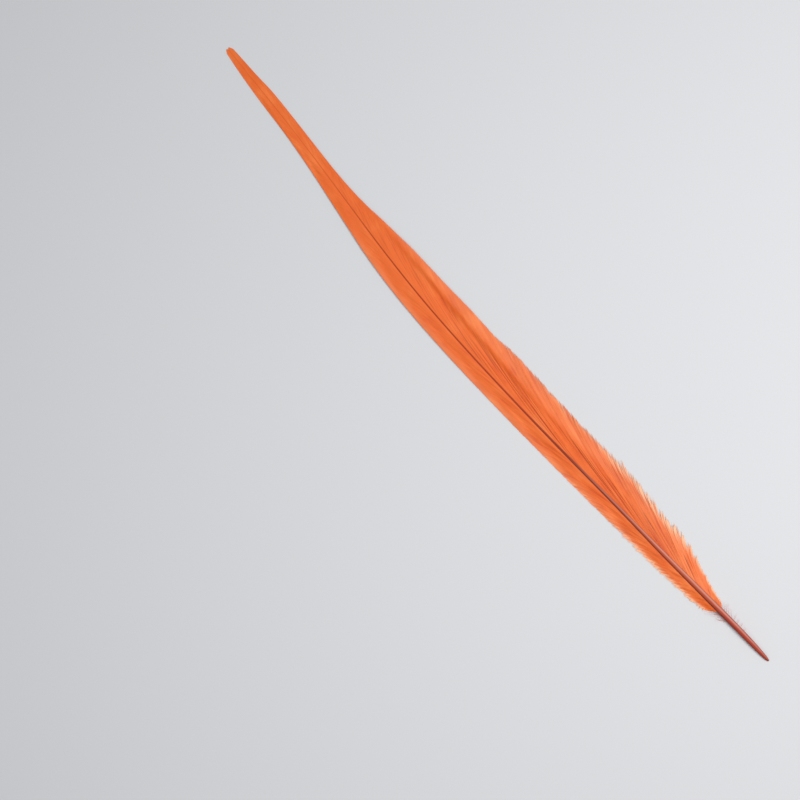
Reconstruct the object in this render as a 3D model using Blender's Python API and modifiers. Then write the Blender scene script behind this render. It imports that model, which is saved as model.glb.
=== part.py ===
"""A long tail feather of a golden pheasant, dyed orange, lying on a flat surface with its upper side up.

+X runs from the quill end to the tip, +Y to the feather's left, +Z up. The origin is under the middle of
the whole feather, on the surface that it lies on. Lengths are in metres.
"""
import math

import bmesh
import bpy
from mathutils import Vector

# Driving dimensions
LENGTH = 0.550
LIFT = 0.0024
CHORD_Y = -0.00726
MARGIN_LIFT = 0.0010
WEB_THICKNESS = 0.0005
DOWN_THICKNESS = 0.0018
GAP = 0.00045

# Where things begin and end, measured from the quill end along the feather
DOWN_START = 0.0360
DOWN_END = 0.0466
VANE_START = 0.0480
VANE_END = 0.5450
SHAFT_END = 0.5490
FLAT_MARGIN_END = 0.190

# How far the shaft's middle stands to the left of the straight line between its ends, as (place, distance)
BOWS = [
    (0.0, 0.0),
    (0.030, 0.0012),
    (0.060, 0.0030),
    (0.100, 0.0054),
    (0.150, 0.0079),
    (0.200, 0.0108),
    (0.250, 0.0129),
    (0.300, 0.0140),
    (0.340, 0.0136),
    (0.380, 0.0115),
    (0.420, 0.0082),
    (0.460, 0.0049),
    (0.500, 0.0024),
    (0.530, 0.0011),
    (0.550, 0.0),
]

# The shaft's width, as (place along the feather, width)
SHAFT_WIDTHS = [
    (0.0, 0.0011),
    (0.0015, 0.0019),
    (0.004, 0.0026),
    (0.009, 0.0032),
    (0.016, 0.0037),
    (0.030, 0.0041),
    (0.048, 0.0043),
    (0.070, 0.0039),
    (0.103, 0.0033),
    (0.134, 0.0026),
    (0.167, 0.0020),
    (0.201, 0.0016),
    (0.250, 0.0012),
    (0.310, 0.0009),
    (0.450, 0.0006),
    (0.550, 0.0004),
]

# How far a barb reaches sideways, as (where it leaves the shaft, reach)
LEFT_REACH = [
    (0.036, 0.0038),
    (0.042, 0.0052),
    (0.048, 0.0074),
    (0.054, 0.0088),
    (0.066, 0.0095),
    (0.092, 0.0107),
    (0.180, 0.0114),
    (0.300, 0.0121),
    (0.340, 0.0114),
    (0.384, 0.0092),
    (0.421, 0.0073),
    (0.462, 0.0057),
    (0.489, 0.0053),
    (0.512, 0.0043),
    (0.537, 0.0028),
    (0.545, 0.0021),
]
RIGHT_REACH = [
    (0.036, 0.0038),
    (0.047, 0.0046),
    (0.054, 0.0068),
    (0.060, 0.0108),
    (0.066, 0.0150),
    (0.073, 0.0169),
    (0.090, 0.0186),
    (0.110, 0.0206),
    (0.141, 0.0214),
    (0.176, 0.0220),
    (0.218, 0.0206),
    (0.262, 0.0185),
    (0.294, 0.0167),
    (0.316, 0.0148),
    (0.345, 0.0121),
    (0.369, 0.0096),
    (0.391, 0.0077),
    (0.419, 0.0061),
    (0.444, 0.0056),
    (0.487, 0.0053),
    (0.508, 0.0042),
    (0.535, 0.0029),
    (0.545, 0.0020),
]

# How far a barb runs forward for each unit that it reaches sideways, beyond the shaft's own width
LEFT_SWEEP = [(0.036, 1.4), (0.060, 1.9), (0.090, 2.5), (0.130, 3.0), (0.250, 3.6), (0.545, 3.8)]
RIGHT_SWEEP = [(0.036, 1.4), (0.060, 1.9), (0.090, 2.8), (0.130, 3.6), (0.220, 4.4), (0.545, 4.4)]

# Shape of the curves
LIFT_POWER = 1.3
FLAT_FROM = 5 / 6

# The shaft's section turns from a circle to a square-shouldered one with a groove along its underside
SQUARING_LENGTH = 0.080
ROUND_POWER = 2.0
SQUARE_POWER = 3.2
GROOVE_DEPTH = 0.35

# Finishes, as colour and roughness
HORN = ((0.42, 0.10, 0.055), 0.35)
WEB = ((0.78, 0.15, 0.035), 0.6)
FLUFF = ((0.80, 0.20, 0.06), 0.85)
SHARP_ANGLE = math.radians(50)

# Resolution
SHAFT_SIDES = 16
QUILL_TIP_RINGS = 8
SHAFT_RINGS = 50
QUILL_TIP_LENGTH = 0.024
VANE_STEPS_ALONG = 64
VANE_STEPS_ACROSS = 6
DOWN_STEPS_ALONG = 8
TIP_CROWDING = 1.3
SLOPE_STEP = 0.0005

LEFT = 1
RIGHT = -1


def clear_scene():
    for thing in list(bpy.data.objects):
        bpy.data.objects.remove(thing, do_unlink=True)


def smooth_between(points, place):
    """The value at a place on a smooth curve through (place, value) points, level past both ends."""
    if place <= points[0][0]:
        return points[0][1]
    for index in range(len(points) - 1):
        start, first = points[index]
        end, second = points[index + 1]
        if place <= end:
            before = points[max(index - 1, 0)]
            after = points[min(index + 2, len(points) - 1)]
            span = end - start
            slope_in = (second - before[1]) / (end - before[0]) * span
            slope_out = (after[1] - first) / (after[0] - start) * span
            t = (place - start) / span
            return (
                first * (2 * t**3 - 3 * t**2 + 1)
                + slope_in * (t**3 - 2 * t**2 + t)
                + second * (3 * t**2 - 2 * t**3)
                + slope_out * (t**3 - t**2)
            )
    return points[-1][1]


def bow_at(place):
    """How far the shaft's middle line stands to the left of the straight line between its ends."""
    return smooth_between(BOWS, place)


def lift_at(place):
    """How high the shaft's underside is above the surface."""
    share = min(max(place / LENGTH, 0.0), 1.0)
    return LIFT * math.sin(math.pi * share) ** LIFT_POWER


def margin_lift_at(place):
    """How high the vane's outer edge is: it lies flat over the third by the quill, and again at the tip."""
    share = (place - FLAT_MARGIN_END) / (LENGTH - FLAT_MARGIN_END)
    return MARGIN_LIFT * math.sin(math.pi * min(max(share, 0.0), 1.0)) ** 2


def shaft_middle(place):
    return lift_at(place) + smooth_between(SHAFT_WIDTHS, place) / 2


def on_feather(place, aside, height):
    """The point that is aside to the left of the shaft's middle line, at a place along the feather."""
    before = max(place - SLOPE_STEP, 0.0)
    after = min(place + SLOPE_STEP, LENGTH)
    slope = (bow_at(after) - bow_at(before)) / (after - before)
    left = Vector((-slope, 1.0)).normalized()
    return Vector(
        (
            place - LENGTH / 2 + left.x * aside,
            CHORD_Y + bow_at(place) + left.y * aside,
            height,
        )
    )


def barb_point(side, root, across):
    """The point at a share of the way across the vane, on the underside of the barb that starts at root."""
    reaches, sweeps = (LEFT_REACH, LEFT_SWEEP) if side == LEFT else (RIGHT_REACH, RIGHT_SWEEP)
    inner = smooth_between(SHAFT_WIDTHS, root) / 2 + GAP
    breadth = smooth_between(reaches, root) - inner
    aside = inner + breadth * across
    place = min(root + breadth * smooth_between(sweeps, root) * across, LENGTH)
    fall = 0.5 + 0.5 * math.cos(math.pi * min(across / FLAT_FROM, 1.0))
    low = margin_lift_at(place)
    return on_feather(place, side * aside, low + (shaft_middle(root) - low) * fall)


def material(name, finish):
    colour, roughness = finish
    made = bpy.data.materials.new(name)
    made.use_nodes = True
    surface = made.node_tree.nodes["Principled BSDF"]
    surface.inputs["Base Color"].default_value = (*colour, 1.0)
    surface.inputs["Roughness"].default_value = roughness
    surface.inputs["Metallic"].default_value = 0.0
    made.diffuse_color = (*colour, 1.0)
    return made


def add_object(name, mesh, collection, finish):
    mesh.shade_smooth()
    mesh.set_sharp_from_angle(angle=SHARP_ANGLE)
    mesh.materials.append(finish)
    thing = bpy.data.objects.new(name, mesh)
    collection.objects.link(thing)
    return thing


def shaft_section(place):
    """The ring of points round the shaft at a place along the feather."""
    width = smooth_between(SHAFT_WIDTHS, place)
    squared = min(max((place - DOWN_START) / SQUARING_LENGTH, 0.0), 1.0)
    power = ROUND_POWER + (SQUARE_POWER - ROUND_POWER) * squared
    lowest = SHAFT_SIDES * 3 // 4
    ring = []
    for side in range(SHAFT_SIDES):
        angle = 2 * math.pi * side / SHAFT_SIDES
        across = math.cos(angle)
        up = math.sin(angle)
        size = (abs(across) ** power + abs(up) ** power) ** (-1 / power)
        if side == lowest:
            size *= 1 - GROOVE_DEPTH * squared
        ring.append(on_feather(place, width / 2 * size * across, shaft_middle(place) + width / 2 * size * up))
    return ring


def make_shaft(collection, finish):
    shape = bmesh.new()
    places = [QUILL_TIP_LENGTH * (ring / QUILL_TIP_RINGS) ** 2 for ring in range(QUILL_TIP_RINGS)]
    run = SHAFT_END - QUILL_TIP_LENGTH
    places += [QUILL_TIP_LENGTH + run * ring / SHAFT_RINGS for ring in range(SHAFT_RINGS + 1)]
    rings = [[shape.verts.new(point) for point in shaft_section(place)] for place in places]
    for near, far in zip(rings, rings[1:]):
        for side in range(SHAFT_SIDES):
            following = (side + 1) % SHAFT_SIDES
            shape.faces.new((near[side], near[following], far[following], far[side]))
    shape.faces.new(reversed(rings[0]))
    shape.faces.new(rings[-1])
    bmesh.ops.recalc_face_normals(shape, faces=shape.faces)
    mesh = bpy.data.meshes.new("shaft")
    shape.to_mesh(mesh)
    shape.free()
    return add_object("shaft", mesh, collection, finish)


def make_web(name, side, start, end, steps_along, thickness, collection, finish):
    """A strip of barbs: a flat grid bent to the barbs' curves, then thickened upwards."""
    shape = bmesh.new()
    bmesh.ops.create_grid(shape, x_segments=steps_along, y_segments=VANE_STEPS_ACROSS, size=0.5)
    for point in shape.verts:
        along = 1 - (0.5 - point.co.x) ** TIP_CROWDING
        across = 0.5 + point.co.y
        point.co = barb_point(side, start + (end - start) * along, across)
    if side == RIGHT:
        bmesh.ops.reverse_faces(shape, faces=shape.faces)
    mesh = bpy.data.meshes.new(name)
    shape.to_mesh(mesh)
    shape.free()
    thing = add_object(name, mesh, collection, finish)
    skin = thing.modifiers.new("thickness", "SOLIDIFY")
    skin.thickness = thickness
    skin.offset = 1.0
    return thing


def main():
    clear_scene()
    feather = bpy.data.collections.new("golden_pheasant_tail_feather")
    bpy.context.scene.collection.children.link(feather)
    horn = material("horn", HORN)
    web = material("web", WEB)
    fluff = material("fluff", FLUFF)
    make_shaft(feather, horn)
    for side, word in ((LEFT, "left"), (RIGHT, "right")):
        make_web("vane_" + word, side, VANE_START, VANE_END, VANE_STEPS_ALONG, WEB_THICKNESS, feather, web)
        make_web("down_" + word, side, DOWN_START, DOWN_END, DOWN_STEPS_ALONG, DOWN_THICKNESS, feather, fluff)


main()
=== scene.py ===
"""Looks of a dyed golden pheasant tail feather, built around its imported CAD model.

+X runs from the quill end to the tip, +Y to the feather's left, +Z up. The feather lies on the surface z = 0.
"Place" is the distance from the quill end along the feather, "aside" the distance from the shaft's middle
line. Lengths are in metres.
"""

import logging
import math
from dataclasses import dataclass
from enum import Enum
from typing import ClassVar

import bpy
import numpy as np
from mathutils import Matrix, Vector


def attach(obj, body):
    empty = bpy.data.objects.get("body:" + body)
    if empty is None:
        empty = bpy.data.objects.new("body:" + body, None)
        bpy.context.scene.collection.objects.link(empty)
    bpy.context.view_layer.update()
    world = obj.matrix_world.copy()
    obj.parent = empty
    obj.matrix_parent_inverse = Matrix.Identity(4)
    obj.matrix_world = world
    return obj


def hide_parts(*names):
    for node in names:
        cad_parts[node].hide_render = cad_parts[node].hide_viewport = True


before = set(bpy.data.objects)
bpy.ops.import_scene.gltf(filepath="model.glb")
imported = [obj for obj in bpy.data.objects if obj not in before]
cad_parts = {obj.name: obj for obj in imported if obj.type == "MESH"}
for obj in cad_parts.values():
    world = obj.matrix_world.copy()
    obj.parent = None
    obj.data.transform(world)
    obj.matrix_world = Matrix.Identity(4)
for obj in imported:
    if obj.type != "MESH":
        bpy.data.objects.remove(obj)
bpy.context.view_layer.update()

LOG = logging.getLogger("feather")
BAKE_MAP = "OFBake"

Pair = tuple[float, float]
Points = tuple[Pair, ...]
Band = tuple[Pair, Pair, Pair, Pair]
Colour = tuple[float, float, float]


class Side(Enum):
    """Which side of the shaft a piece grows on: its value is the sign of Y."""

    LEFT = 1
    RIGHT = -1

    @property
    def word(self) -> str:
        """The side's name as it stands in the names of pieces."""
        return self.name.lower()


def smoothstep(low: float | np.ndarray, high: float | np.ndarray, value: np.ndarray) -> np.ndarray:
    """A soft step from 0 at low to 1 at high."""
    share = np.clip((value - low) / (high - low), 0.0, 1.0)
    return share * share * (3 - 2 * share)


def near_quill(pair: Pair, base: np.ndarray) -> np.ndarray:
    """A pair's first value, with its second added in step with how near the quill a barb is."""
    return pair[0] + pair[1] * base


def unit(vectors: np.ndarray) -> np.ndarray:
    """The vectors at length 1."""
    return vectors / np.maximum(np.linalg.norm(vectors, axis=-1, keepdims=True), 1e-12)


def linear(red: int, green: int, blue: int) -> Colour:
    """A colour as a screen shows it, from 0 to 255, as linear light.

    Args:
        red: The screen's red.
        green: The screen's green.
        blue: The screen's blue.

    Returns:
        The three shares of linear light.
    """

    def one(value: int) -> float:
        """One channel, by the usual screen curve."""
        share = value / 255
        return share / 12.92 if share <= 0.04045 else ((share + 0.055) / 1.055) ** 2.4

    return one(red), one(green), one(blue)


@dataclass(frozen=True)
class Course:
    """A smooth curve through (place, value) points, level past both ends."""

    points: Points

    def at(self, places: np.ndarray | float) -> np.ndarray:
        """The curve's values.

        Args:
            places: Where to read the curve.

        Returns:
            One value for each place.
        """
        knots = np.array(self.points)
        where, value = knots[:, 0], knots[:, 1]
        last = len(where) - 1
        before = np.maximum(np.arange(last + 1) - 1, 0)
        after = np.minimum(np.arange(last + 1) + 1, last)
        slope = (value[after] - value[before]) / (where[after] - where[before])
        x = np.clip(np.asarray(places, float), where[0], where[-1])
        low = np.clip(np.searchsorted(where, x, side="right") - 1, 0, last - 1)
        span = where[low + 1] - where[low]
        t = (x - where[low]) / span
        return (
            value[low] * (2 * t**3 - 3 * t**2 + 1)
            + slope[low] * span * (t**3 - 2 * t**2 + t)
            + value[low + 1] * (3 * t**2 - 2 * t**3)
            + slope[low + 1] * span * (t**3 - t**2)
        )


@dataclass(frozen=True)
class Ripple:
    """Smooth chance heights from about -1 to 1 over a plane."""

    seed: int
    cells: int = 256

    def at(self, x: np.ndarray, y: np.ndarray) -> np.ndarray:
        """The heights.

        Args:
            x: First coordinate, one unit to a cell.
            y: Second coordinate, one unit to a cell.

        Returns:
            One height for each pair of coordinates.
        """
        grid = np.random.default_rng(self.seed).uniform(-1.0, 1.0, (self.cells, self.cells))
        x, y = np.broadcast_arrays(x, y)
        column, row = np.floor(x).astype(int), np.floor(y).astype(int)
        across, up = smoothstep(0.0, 1.0, x - column), smoothstep(0.0, 1.0, y - row)
        column, row = column % (self.cells - 1), row % (self.cells - 1)
        near = grid[column, row] * (1 - across) + grid[column + 1, row] * across
        far = grid[column, row + 1] * (1 - across) + grid[column + 1, row + 1] * across
        return near * (1 - up) + far * up


@dataclass(frozen=True)
class Spine:
    """The line that the whole feather follows, with the shaft's width along it, as in the CAD model."""

    length: float = 0.550
    bows: Course = Course(
        (
            (0.0, 0.0),
            (0.030, 0.0012),
            (0.060, 0.0030),
            (0.100, 0.0054),
            (0.150, 0.0079),
            (0.200, 0.0108),
            (0.250, 0.0129),
            (0.300, 0.0140),
            (0.340, 0.0136),
            (0.380, 0.0115),
            (0.420, 0.0082),
            (0.460, 0.0049),
            (0.500, 0.0024),
            (0.530, 0.0011),
            (0.550, 0.0),
        )
    )
    lift: float = 0.0024
    lift_power: float = 1.3
    chord_y: float = -0.00726
    margin_lift: float = 0.0010
    flat_margin_end: float = 0.190
    flat_from: float = 5 / 6
    gap: float = 0.00045
    slope_step: float = 0.0005
    widths: Course = Course(
        (
            (0.0, 0.0011),
            (0.0015, 0.0019),
            (0.004, 0.0026),
            (0.009, 0.0032),
            (0.016, 0.0037),
            (0.030, 0.0041),
            (0.048, 0.0043),
            (0.070, 0.0039),
            (0.103, 0.0033),
            (0.134, 0.0026),
            (0.167, 0.0020),
            (0.201, 0.0016),
            (0.250, 0.0012),
            (0.310, 0.0009),
            (0.450, 0.0006),
            (0.550, 0.0004),
        )
    )

    def share(self, place: np.ndarray) -> np.ndarray:
        """The place as a share of the feather's length."""
        return np.clip(place / self.length, 0.0, 1.0)

    def bow_at(self, place: np.ndarray) -> np.ndarray:
        """How far the middle line stands to the left of the straight line between its ends."""
        return self.bows.at(place)

    def lift_at(self, place: np.ndarray) -> np.ndarray:
        """How high the shaft's underside is."""
        return self.lift * np.sin(np.pi * self.share(place)) ** self.lift_power

    def middle_at(self, place: np.ndarray) -> np.ndarray:
        """How high the shaft's middle is."""
        return self.lift_at(place) + self.widths.at(place) / 2

    def margin_at(self, place: np.ndarray) -> np.ndarray:
        """How high a vane's outer edge is."""
        share = (place - self.flat_margin_end) / (self.length - self.flat_margin_end)
        return self.margin_lift * np.sin(np.pi * np.clip(share, 0.0, 1.0)) ** 2

    def points(self, place: np.ndarray, aside: np.ndarray, height: np.ndarray) -> np.ndarray:
        """Places on the feather as points in space.

        Args:
            place: Distance from the quill end along the feather.
            aside: Distance to the left of the shaft's middle line.
            height: Height above the surface.

        Returns:
            The points, with a last axis of three.
        """
        before = np.clip(place - self.slope_step, 0.0, self.length - self.slope_step)
        after = np.clip(place + self.slope_step, self.slope_step, self.length)
        slope = (self.bow_at(after) - self.bow_at(before)) / (after - before)
        size = np.sqrt(1 + slope**2)
        return np.stack(
            [
                place - self.length / 2 - slope / size * aside,
                self.chord_y + self.bow_at(place) + aside / size,
                height + 0 * place,
            ],
            axis=-1,
        )


SPINE = Spine()
UP = np.array([0.0, 0.0, 1.0])
ASKEW = np.array([0.1, 0.2, 1.0])


class Strands:
    """Many closed tapering strands in one mesh, each a row of rings of points."""

    sharp_from: ClassVar[float] = 70.0

    def __init__(self, name: str) -> None:
        """Starts an empty mesh of strands.

        Args:
            name: The mesh's name.
        """
        self.name = name
        self.verts: list[np.ndarray] = []
        self.faces: list[np.ndarray] = []
        self.sizes: list[np.ndarray] = []
        self.maps: list[np.ndarray] = []
        self.values: dict[str, list[np.ndarray]] = {}
        self.count = 0

    def add(self, rings: np.ndarray, columns: Pair, **values: np.ndarray) -> None:
        """Adds strands that have equally many rings.

        Args:
            rings: Points as (strand, ring, side, 3). The sides run anticlockwise seen from the strand's end.
            columns: The part of the bake map that these strands share, from left to right.
            **values: Named numbers as (strand, ring), for the material.
        """
        strands, steps, sides, _ = rings.shape
        index = np.arange(strands * steps * sides).reshape(strands, steps, sides) + self.count
        following = np.roll(index, -1, axis=2)
        walls = np.stack([index[:, :-1], following[:, :-1], following[:, 1:], index[:, 1:]], axis=-1)
        self.faces += [walls.reshape(-1), index[:, 0, ::-1].reshape(-1), index[:, -1].reshape(-1)]
        self.sizes += [np.full(walls.size // 4, 4), np.full(strands, sides), np.full(strands, sides)]
        half = sides / 2
        fold = np.abs(np.arange(sides + 1) - half) / half
        left = columns[0] + (columns[1] - columns[0]) * np.arange(strands) / strands
        wide = (columns[1] - columns[0]) / strands
        across = left[:, None, None] + wide * fold[None, None, :] + np.zeros((1, steps, 1))
        up = np.broadcast_to(np.linspace(0.0, 1.0, steps)[None, :, None], across.shape)
        grid = np.stack([across, up], axis=-1)
        corners = [grid[:, :-1, :-1], grid[:, :-1, 1:], grid[:, 1:, 1:], grid[:, 1:, :-1]]
        caps = [grid[:, 0, :-1][:, ::-1], grid[:, -1, :-1]]
        self.maps += [np.stack(corners, axis=3).reshape(-1, 2)] + [cap.reshape(-1, 2) for cap in caps]
        self.verts.append(rings.reshape(-1, 3))
        for key, value in values.items():
            spread = np.broadcast_to(value[:, :, None], (strands, steps, sides))
            self.values.setdefault(key, []).append(spread.reshape(-1))
        self.count += strands * steps * sides

    def build(self) -> bpy.types.Object:
        """The mesh of all the strands, smooth but for their own edges.

        Returns:
            The mesh object, linked to the scene.
        """
        verts = np.concatenate(self.verts)
        faces = np.concatenate(self.faces)
        sizes = np.concatenate(self.sizes)
        mesh = bpy.data.meshes.new(self.name)
        mesh.vertices.add(len(verts))
        mesh.vertices.foreach_set("co", verts.astype(np.float32).ravel())
        mesh.loops.add(len(faces))
        mesh.loops.foreach_set("vertex_index", faces.astype(np.int32))
        mesh.polygons.add(len(sizes))
        starts = np.concatenate([[0], np.cumsum(sizes)[:-1]])
        mesh.polygons.foreach_set("loop_start", starts.astype(np.int32))
        mesh.update(calc_edges=True)
        mesh.polygons.foreach_set("use_smooth", np.ones(len(sizes), bool))
        layer = mesh.uv_layers.new(name=BAKE_MAP)
        layer.data.foreach_set("uv", np.concatenate(self.maps).astype(np.float32).ravel())
        for key, parts in self.values.items():
            attribute = mesh.attributes.new(key, "FLOAT", "POINT")
            attribute.data.foreach_set("value", np.concatenate(parts).astype(np.float32))
        mesh.validate()
        mesh.set_sharp_from_angle(angle=math.radians(self.sharp_from))
        thing = bpy.data.objects.new(self.name, mesh)
        bpy.context.scene.collection.objects.link(thing)
        return thing


def ribbon_rings(
    line: np.ndarray, normal: np.ndarray, width: np.ndarray, height: np.ndarray, roll: np.ndarray
) -> np.ndarray:
    """Rings of four points round flat strands: right edge, ridge, left edge and underside.

    Args:
        line: Middle points as (strand, ring, 3).
        normal: The way up at each point.
        width: Full width at each point.
        height: Height of the ridge over the middle at each point.
        roll: How far each strand is turned about its own line, in radians.

    Returns:
        Points as (strand, ring, 4, 3).
    """
    tangent = unit(np.gradient(line, axis=1))
    across = unit(np.cross(normal, tangent))
    up = np.cross(tangent, across)
    turn = roll[..., None]
    wide = across * np.cos(turn) + up * np.sin(turn)
    high = np.cross(tangent, wide)
    edge = wide * width[..., None] / 2
    ridge = high * height[..., None]
    return np.stack([line - edge, line - ridge, line + edge, line + ridge], axis=2)


class Nodes:
    """Short ways to build one node tree."""

    def __init__(self, tree: bpy.types.NodeTree) -> None:
        """Works on that tree."""
        self.tree = tree

    def new(self, kind: str, **settings: object) -> bpy.types.Node:
        """A new node.

        Args:
            kind: The node's type.
            **settings: The node's own settings.

        Returns:
            The node.
        """
        node = self.tree.nodes.new(kind)
        for name, value in settings.items():
            setattr(node, name, value)
        return node

    def feed(self, socket: bpy.types.NodeSocket, value: object) -> None:
        """Links an output to a socket, or sets the socket's own value.

        Args:
            socket: The input to feed.
            value: An output, a number or a colour.
        """
        if isinstance(value, bpy.types.NodeSocket):
            self.tree.links.new(value, socket)
        elif isinstance(value, tuple) and len(value) == 3 and socket.type == "RGBA":
            socket.default_value = (*value, 1.0)
        else:
            socket.default_value = value

    def feed_all(self, sockets: object, values: tuple[object, ...]) -> None:
        """Feeds the first sockets with the values, in order."""
        for socket, value in zip(sockets, values):
            self.feed(socket, value)

    def attribute(self, name: str) -> bpy.types.NodeSocket:
        """The number that the mesh carries under that name."""
        return self.new("ShaderNodeAttribute", attribute_type="GEOMETRY", attribute_name=name).outputs["Fac"]

    def maths(self, operation: str, *values: object) -> bpy.types.NodeSocket:
        """A sum on numbers.

        Args:
            operation: The kind of sum.
            *values: Its numbers or outputs.

        Returns:
            The result.
        """
        node = self.new("ShaderNodeMath", operation=operation)
        self.feed_all(node.inputs, values)
        return node.outputs[0]

    def times(self, first: object, second: object) -> bpy.types.NodeSocket:
        """Two numbers multiplied."""
        return self.maths("MULTIPLY", first, second)

    def between(self, value: object, span: Pair, to: Pair = (0.0, 1.0)) -> bpy.types.NodeSocket:
        """A number moved softly from one range to another.

        Args:
            value: The number.
            span: Where its range begins and ends.
            to: What the result is there.

        Returns:
            The result.
        """
        node = self.new("ShaderNodeMapRange", interpolation_type="SMOOTHSTEP")
        self.feed_all(node.inputs, (value, *span, *to))
        return node.outputs["Result"]

    def band(self, facing: object, place: object, band: Band) -> bpy.types.NodeSocket:
        """How strong a tone is that fades both round the shaft and along it.

        Args:
            facing: How much a spot faces the tone's own way.
            place: Where it is along the shaft.
            band: The ranges of facing and strength, then of place and strength.

        Returns:
            The tone's strength.
        """
        facing_span, facing_share, place_span, place_share = band
        return self.times(
            self.between(facing, facing_span, facing_share), self.between(place, place_span, place_share)
        )

    def mix(self, share: object, first: object, second: object) -> bpy.types.NodeSocket:
        """Two colours mixed.

        Args:
            share: How much of the second colour there is.
            first: The first colour.
            second: The second colour.

        Returns:
            The mixed colour.
        """
        node = self.new("ShaderNodeMix", data_type="RGBA", blend_type="MIX")
        self.feed(node.inputs["Factor"], share)
        self.feed(node.inputs[6], first)
        self.feed(node.inputs[7], second)
        return node.outputs[2]

    def noise(self, vector: object, detail: float, roughness: float = 0.5) -> bpy.types.NodeSocket:
        """Smooth noise from about 0.3 to 0.7.

        Args:
            vector: Where it is read, one unit to a cell.
            detail: How many finer layers it has.
            roughness: How strong the finer layers are.

        Returns:
            The noise.
        """
        node = self.new("ShaderNodeTexNoise")
        self.feed(node.inputs["Vector"], vector)
        self.feed(node.inputs["Scale"], 1.0)
        self.feed(node.inputs["Detail"], detail)
        self.feed(node.inputs["Roughness"], roughness)
        return node.outputs["Fac"]

    def vector(self, x: object, y: object, z: object = 0.0) -> bpy.types.NodeSocket:
        """Three numbers as one vector.

        Args:
            x: The first number.
            y: The second number.
            z: The third number.

        Returns:
            The vector.
        """
        node = self.new("ShaderNodeCombineXYZ")
        self.feed_all(node.inputs, (x, y, z))
        return node.outputs["Vector"]

    def group(self, tree: bpy.types.NodeTree, **values: object) -> bpy.types.Node:
        """A copy of a node group with its own values.

        Args:
            tree: The group.
            **values: Its inputs, with _ for a space in their names.

        Returns:
            The group's node.
        """
        node = self.new("ShaderNodeGroup", node_tree=tree)
        for name, value in values.items():
            self.feed(node.inputs[name.replace("_", " ")], value)
        return node

    def bump(self, height: object, strength: float, distance: float) -> bpy.types.NodeSocket:
        """A fine relief.

        Args:
            height: The relief's height.
            strength: How much of it shows.
            distance: How high it stands where the height is 1.

        Returns:
            The normal.
        """
        node = self.new("ShaderNodeBump")
        node.inputs["Strength"].default_value = strength
        node.inputs["Distance"].default_value = distance
        self.feed(node.inputs["Height"], height)
        return node.outputs["Normal"]


def new_material(name: str) -> tuple[bpy.types.Material, Nodes]:
    """An empty material.

    Args:
        name: The material's name.

    Returns:
        The material and its nodes.
    """
    made = bpy.data.materials.new(name)
    made.use_nodes = True
    made.node_tree.nodes.clear()
    return made, Nodes(made.node_tree)


def new_group(name: str, inputs: dict[str, str], outputs: dict[str, str]) -> tuple[Nodes, dict, dict]:
    """An empty shader node group.

    Args:
        name: The group's name.
        inputs: Socket names with their socket types.
        outputs: Socket names with their socket types.

    Returns:
        The group's nodes, its inputs as outputs to read, and its outputs as inputs to feed.
    """
    tree = bpy.data.node_groups.new(name, "ShaderNodeTree")
    for label, kind in inputs.items():
        tree.interface.new_socket(label, in_out="INPUT", socket_type=kind)
    for label, kind in outputs.items():
        tree.interface.new_socket(label, in_out="OUTPUT", socket_type=kind)
    nodes = Nodes(tree)
    entry = nodes.new("NodeGroupInput")
    leave = nodes.new("NodeGroupOutput")
    return nodes, dict(entry.outputs.items()), dict(leave.inputs.items())


FLOAT = "NodeSocketFloat"
COLOUR = "NodeSocketColor"


def streak_group() -> bpy.types.NodeTree:
    """Fine streaks that run along a strand or the shaft.

    Returns:
        A group that puts out a mask and a height.
    """
    nodes, given, wanted = new_group(
        "Streaks along the growth",
        {"Along": FLOAT, "Across": FLOAT, "Length": FLOAT, "Count": FLOAT},
        {"Mask": FLOAT, "Height": FLOAT},
    )
    coarse_detail, coarse_roughness, usual = 3.0, 0.6, (0.3, 0.7)
    finer_along, finer_across, apart, fine_detail, fine_share = 2.3, 3.1, 4.0, 1.0, 0.5
    x = nodes.times(given["Along"], given["Length"])
    y = nodes.times(given["Across"], given["Count"])
    coarse = nodes.noise(nodes.vector(x, y), coarse_detail, coarse_roughness)
    finer = nodes.vector(nodes.times(x, finer_along), nodes.times(y, finer_across), apart)
    fine = nodes.times(nodes.noise(finer, fine_detail), fine_share)
    nodes.feed(wanted["Mask"], nodes.between(coarse, usual))
    nodes.feed(wanted["Height"], nodes.maths("ADD", coarse, fine))
    return nodes.tree


def mottle_group() -> bpy.types.NodeTree:
    """Slow patches of deeper and lighter dye over the whole feather.

    Returns:
        A group that puts out a colour.
    """
    nodes, given, wanted = new_group(
        "Uneven dye",
        {"Deep": COLOUR, "Plain": COLOUR, "Light": COLOUR, "Tint": FLOAT, "Patch Size": FLOAT},
        {"Color": COLOUR},
    )
    patch_share, tint_share, patch_detail = 0.7, 0.5, 3.0
    light_span, deep_span = (0.58, 0.86), (0.30, 0.56)
    scaled = nodes.new("ShaderNodeVectorMath", operation="DIVIDE")
    size = nodes.vector(given["Patch Size"], given["Patch Size"], given["Patch Size"])
    nodes.feed_all(scaled.inputs, (nodes.new("ShaderNodeTexCoord").outputs["Object"], size))
    patches = nodes.times(nodes.noise(scaled.outputs["Vector"], patch_detail), patch_share)
    both = nodes.maths("ADD", patches, nodes.times(given["Tint"], tint_share))
    lighter = nodes.mix(nodes.between(both, light_span), given["Plain"], given["Light"])
    deep = nodes.between(both, deep_span, (1.0, 0.0))
    nodes.feed(wanted["Color"], nodes.mix(deep, lighter, given["Deep"]))
    return nodes.tree


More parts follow.
